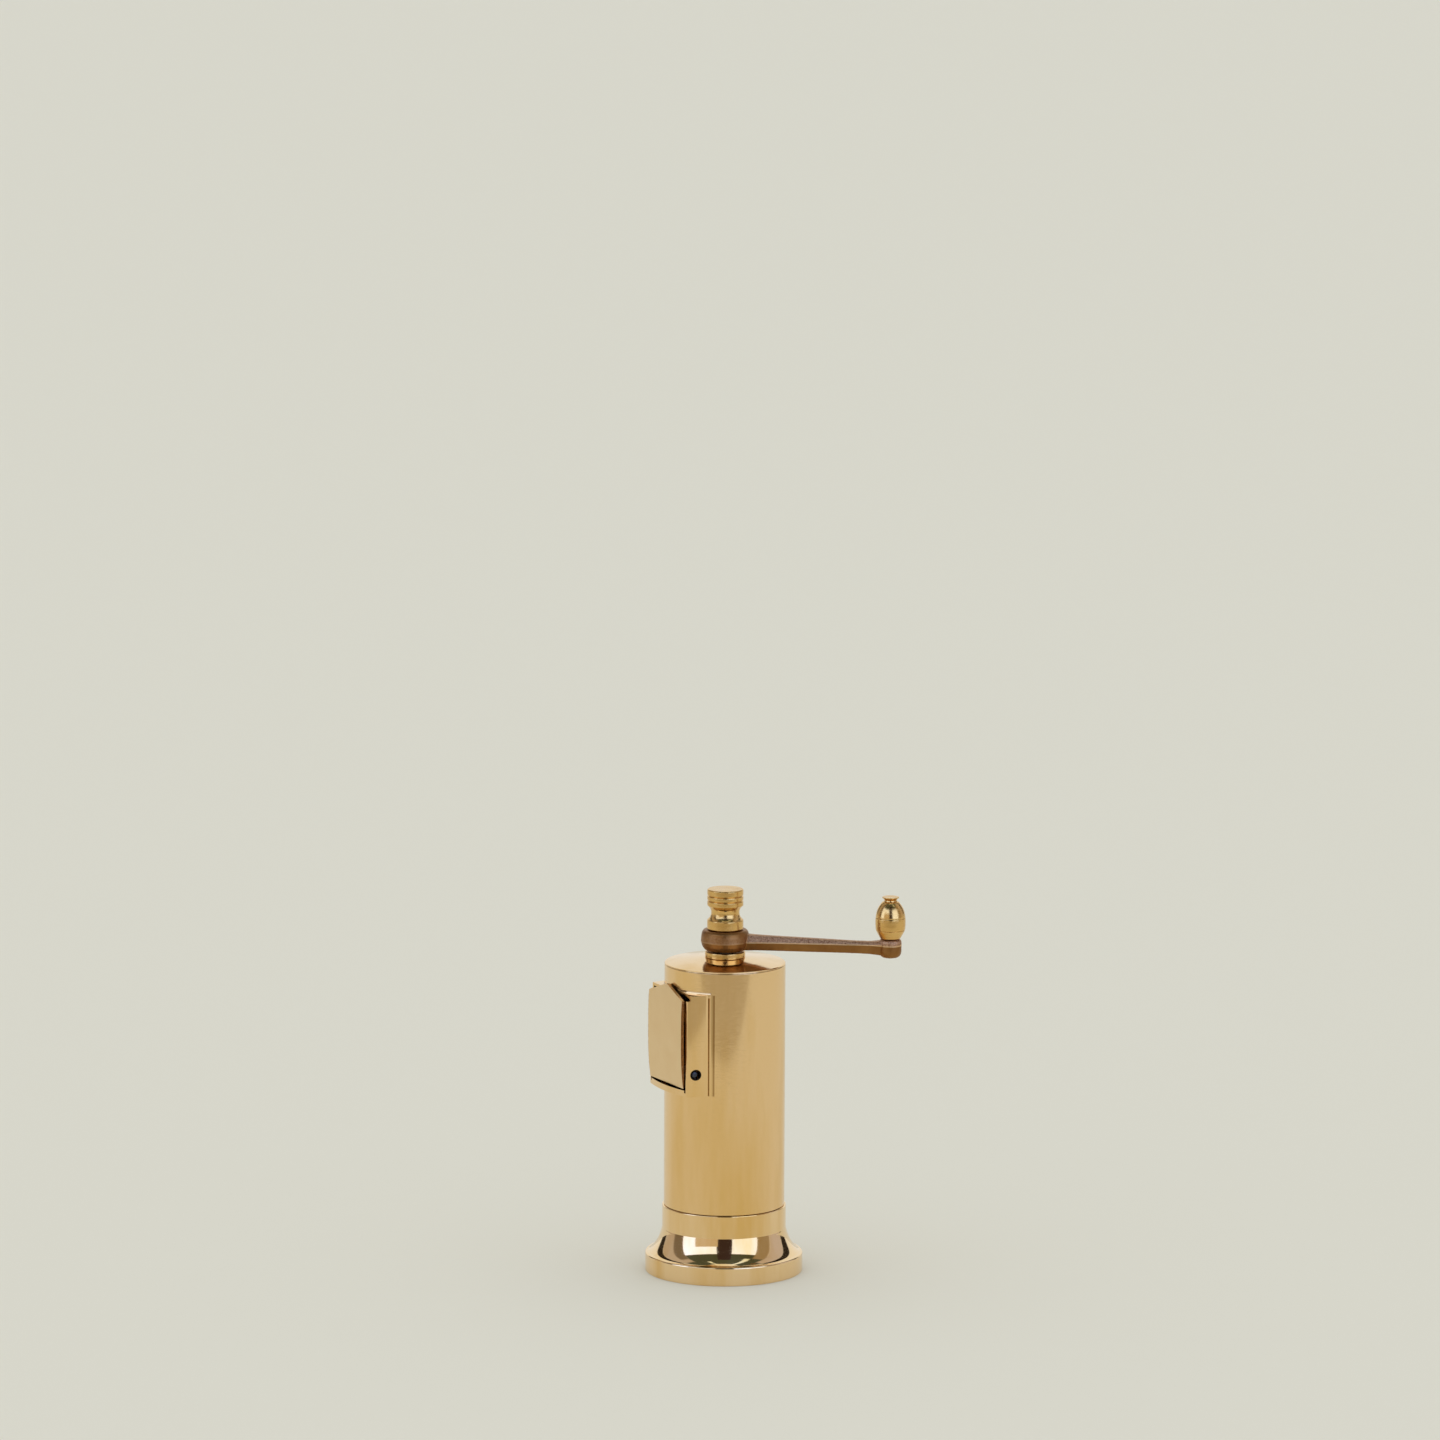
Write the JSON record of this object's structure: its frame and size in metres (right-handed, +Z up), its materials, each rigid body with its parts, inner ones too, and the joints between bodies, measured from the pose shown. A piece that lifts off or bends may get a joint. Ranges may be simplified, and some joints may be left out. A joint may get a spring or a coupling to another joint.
{
  "type": "pepper mill",
  "caption": "Small brass crank pepper mill: tube body on a bell foot, tilting filler door in the side, crank arm with a turned knob, conical burrs set from below.",
  "frame": {"origin": "on the mill's axis at the level of the table that the foot stands on", "axes": "+Z up along the mill's axis; the filler door faces -Y; the crank arm points 53.5 degrees from +X towards +Y at rest"},
  "size_m": [0.0696, 0.0821, 0.14],
  "materials": {
    "polished_brass": "polished sheet and casting with faint tarnish and fine scratches",
    "satin_brass": "satin rolled brass sheet",
    "turned_brass": "bright turned brass with fine lathe lines",
    "cast_bronze": "sand cast, rubbed over, brown in the hollows",
    "steel": "plain grey steel",
    "burr_iron": "hardened dark iron"
  },
  "bodies": {
    "mill_body": {"foot": "polished_brass", "body_tube": "polished_brass", "top_cap": "polished_brass", "neck_bush": "turned_brass", "door_housing": "polished_brass", "door_pin": "steel", "outer_burr": "burr_iron", "shaft_strap": "satin_brass", "lower_bridge": "satin_brass", "strap_screw_left": "steel", "strap_screw_right": "steel", "bridge_screw_left": "steel", "bridge_screw_right": "steel", "burr_spring": "steel"},
    "burr_carrier": {"thrust_ball": "steel"},
    "crank": {"drive_shaft": "steel", "inner_burr": "burr_iron", "burr_nut": "steel", "spring_washer": "steel", "crank_arm": "cast_bronze", "cap_nut": "turned_brass", "knob_pin": "turned_brass"},
    "knob": {"knob": "turned_brass"},
    "door": {"door_flap": "satin_brass"},
    "adjuster": {"thumb_screw": "turned_brass"}
  },
  "joints": [
    {"name": "burr_lift", "type": "slide", "parent": "mill_body", "child": "burr_carrier", "axis": [0, 0, 1], "range_m": [-0.0003, 0.0003], "deforming": ["burr_spring"]},
    {"name": "crank_turn", "type": "hinge", "parent": "burr_carrier", "child": "crank", "pos_m": [0, 0, 0.1214], "axis": [0, 0, 1], "continuous": true},
    {"name": "knob_spin", "type": "hinge", "parent": "crank", "child": "knob", "pos_m": [0.03569, 0.04823, 0.1306], "axis": [0, 0, 1], "continuous": true},
    {"name": "adjuster_turn", "type": "hinge", "parent": "burr_carrier", "child": "adjuster", "pos_m": [0, 0, 0.009], "axis": [0, 0, 1], "range_deg": [-136, 136]},
    {"name": "door_tilt", "type": "hinge", "parent": "mill_body", "child": "door", "pos_m": [0, -0.0196, 0.0762], "axis": [1, 0, 0], "range_deg": [0, 45]}
  ],
  "couplings": [
    {"joint": "adjuster_turn", "follows": "burr_lift", "rad_per_m": 7854}
  ]
}
